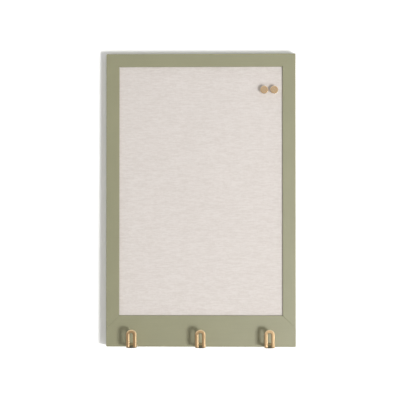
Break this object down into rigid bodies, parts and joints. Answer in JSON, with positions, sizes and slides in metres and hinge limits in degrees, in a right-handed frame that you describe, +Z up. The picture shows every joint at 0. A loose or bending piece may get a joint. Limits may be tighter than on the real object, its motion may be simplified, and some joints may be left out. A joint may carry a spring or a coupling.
{
  "type": "wall pinboard with hooks",
  "caption": "Wall pinboard: a linen-covered panel in a painted mitred frame, with brass arch hooks on its deep bottom rail, push pins in the linen and ring hangers behind.",
  "frame": {"origin": "centre of the top rail's flat back face, midway along its length and across its back strip", "axes": "+X to the board's right as seen from the front, +Z up, +Y towards the wall; the front faces -Y"},
  "size_m": [0.28, 0.0452, 0.4329],
  "materials": {
    "frame_paint": "satin sage green paint on wood",
    "linen": "natural linen, plain weave with slubs",
    "fibreboard": "soft fibreboard",
    "grey_board": "grey board",
    "hook_brass": "satin brass",
    "pin_brass": "satin brass, turned",
    "needle_steel": "polished steel",
    "zinc_steel": "zinc-plated steel",
    "bumper_rubber": "moulded rubber"
  },
  "bodies": {
    "board": {"top_rail": "frame_paint", "bottom_rail": "frame_paint", "left_stile": "frame_paint", "right_stile": "frame_paint", "linen_cover": "linen", "panel_core": "fibreboard", "backing_board": "grey_board", "hook_left": "hook_brass", "hook_middle": "hook_brass", "hook_right": "hook_brass", "corner_nail_top_left_1": "zinc_steel", "corner_nail_top_left_2": "zinc_steel", "corner_nail_top_right_1": "zinc_steel", "corner_nail_top_right_2": "zinc_steel", "corner_nail_bottom_left_1": "zinc_steel", "corner_nail_bottom_left_2": "zinc_steel", "corner_nail_bottom_right_1": "zinc_steel", "corner_nail_bottom_right_2": "zinc_steel", "backing_point_top_1": "zinc_steel", "backing_point_top_2": "zinc_steel", "backing_point_bottom_1": "zinc_steel", "backing_point_bottom_2": "zinc_steel", "backing_point_left_1": "zinc_steel", "backing_point_left_2": "zinc_steel", "backing_point_right_1": "zinc_steel", "backing_point_right_2": "zinc_steel", "hook_washer_left": "zinc_steel", "hook_washer_middle": "zinc_steel", "hook_washer_right": "zinc_steel", "hook_screw_left": "zinc_steel", "hook_screw_middle": "zinc_steel", "hook_screw_right": "zinc_steel", "hanger_strap_left": "zinc_steel", "hanger_screw_left": "zinc_steel", "hanger_strap_right": "zinc_steel", "hanger_screw_right": "zinc_steel", "bumper_left": "bumper_rubber", "bumper_right": "bumper_rubber"},
    "pin_left": {"pin_head_left": "pin_brass", "pin_needle_left": "needle_steel"},
    "pin_right": {"pin_head_right": "pin_brass", "pin_needle_right": "needle_steel"},
    "ring_left": {"hanger_ring_left": "zinc_steel"},
    "ring_right": {"hanger_ring_right": "zinc_steel"}
  },
  "joints": [
    {"name": "pin_pull_left", "type": "slide", "parent": "board", "child": "pin_left", "axis": [0, -1, 0], "range_m": [0, 0.012]},
    {"name": "pin_pull_right", "type": "slide", "parent": "board", "child": "pin_right", "axis": [0, -1, 0], "range_m": [0, 0.012]},
    {"name": "ring_swing_left", "type": "hinge", "parent": "board", "child": "ring_left", "pos_m": [-0.13335, 0.0018, -0.11135], "axis": [-1, 0, 0], "range_deg": [0, 180]},
    {"name": "ring_swing_right", "type": "hinge", "parent": "board", "child": "ring_right", "pos_m": [0.13335, 0.0018, -0.11135], "axis": [-1, 0, 0], "range_deg": [0, 180]}
  ]
}
